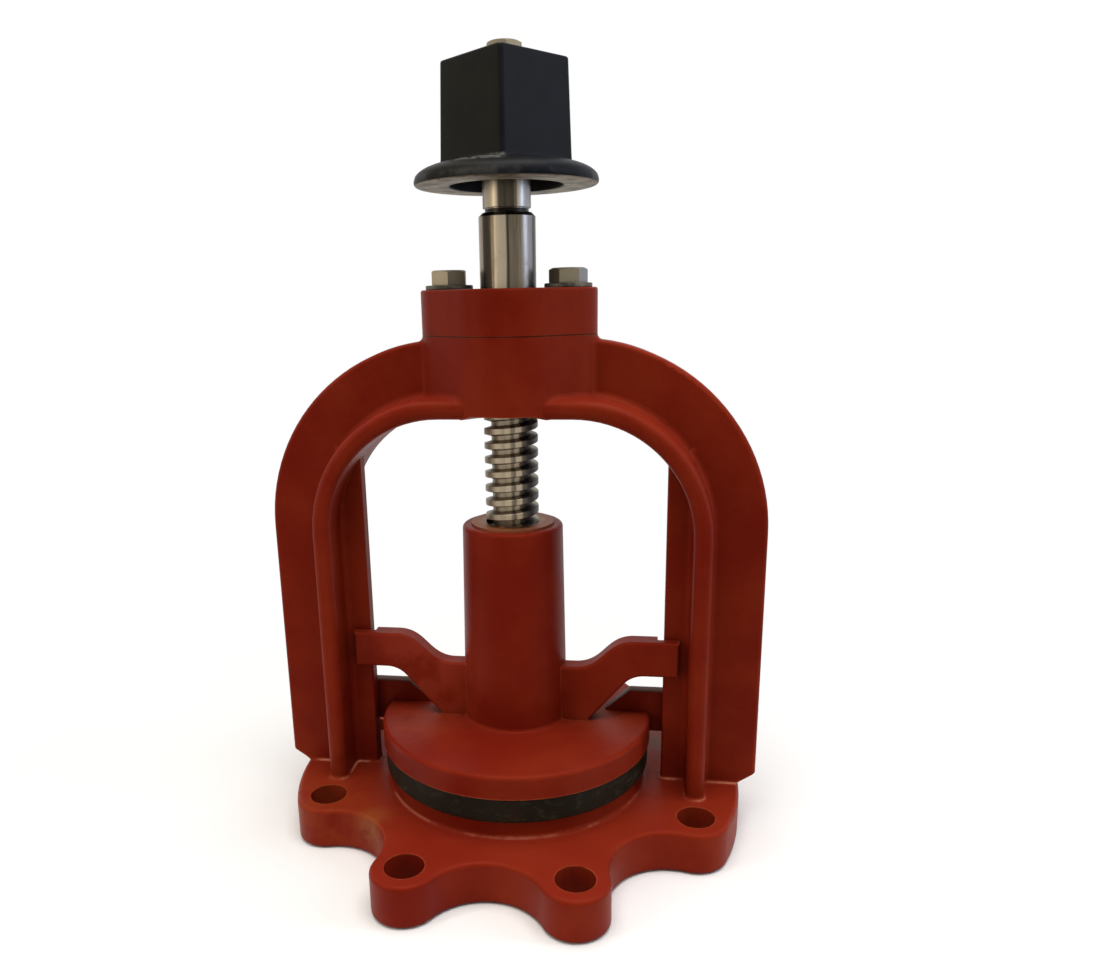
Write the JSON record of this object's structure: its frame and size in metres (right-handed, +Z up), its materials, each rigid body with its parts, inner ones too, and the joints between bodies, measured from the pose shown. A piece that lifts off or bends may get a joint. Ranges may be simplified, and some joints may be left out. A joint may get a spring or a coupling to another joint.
{
  "type": "mud valve",
  "caption": "Rising-disc mud valve: flanged body with scalloped bolt lugs, arched yoke, threaded stem with square operating nut, and a rubber-faced disc on guided arms.",
  "frame": {"origin": "centre of the flange's bottom face, on the stem's axis", "axes": "+Z up along the stem, +X towards one leg of the yoke, -Y the side that the disc's arms lap"},
  "size_m": [0.2988, 0.261, 0.4516],
  "materials": {
    "red_paint": "semi-gloss red oxide paint on cast iron",
    "black_paint": "satin black paint on cast iron",
    "polished_steel": "turned stainless steel",
    "bolt_steel": "stainless steel, as forged",
    "washer_steel": "dull steel",
    "bronze": "machined bronze",
    "seal_rubber": "moulded black rubber"
  },
  "bodies": {
    "yoke": {"valve_body": "red_paint", "seat_ring": "bronze", "thrust_cap": "red_paint", "cap_bolt_left": "bolt_steel", "cap_bolt_right": "bolt_steel", "cap_washer_left": "washer_steel", "cap_washer_right": "washer_steel", "lower_stem_bushing": "bronze", "upper_stem_bushing": "bronze", "lower_thrust_washer": "bronze", "upper_thrust_washer": "bronze"},
    "stem": {"stem": "polished_steel", "operating_nut": "black_paint", "nut_bolt": "bolt_steel"},
    "disc": {"disc": "red_paint", "disc_seal": "seal_rubber", "seal_retainer": "bolt_steel", "stem_nut": "bronze", "retainer_bolt_1": "bolt_steel", "retainer_bolt_2": "bolt_steel", "retainer_bolt_3": "bolt_steel", "retainer_bolt_4": "bolt_steel", "retainer_bolt_5": "bolt_steel", "retainer_bolt_6": "bolt_steel"}
  },
  "joints": [
    {"name": "stem_turn", "type": "hinge", "parent": "yoke", "child": "stem", "pos_m": [0, 0, 0.3], "axis": [0, 0, 1], "range_deg": [0, 2400]},
    {"name": "disc_lift", "type": "slide", "parent": "yoke", "child": "disc", "axis": [0, 0, 1], "range_m": [0, 0.0566]}
  ],
  "couplings": [
    {"joint": "disc_lift", "follows": "stem_turn", "m_per_rad": 0.0013475}
  ]
}
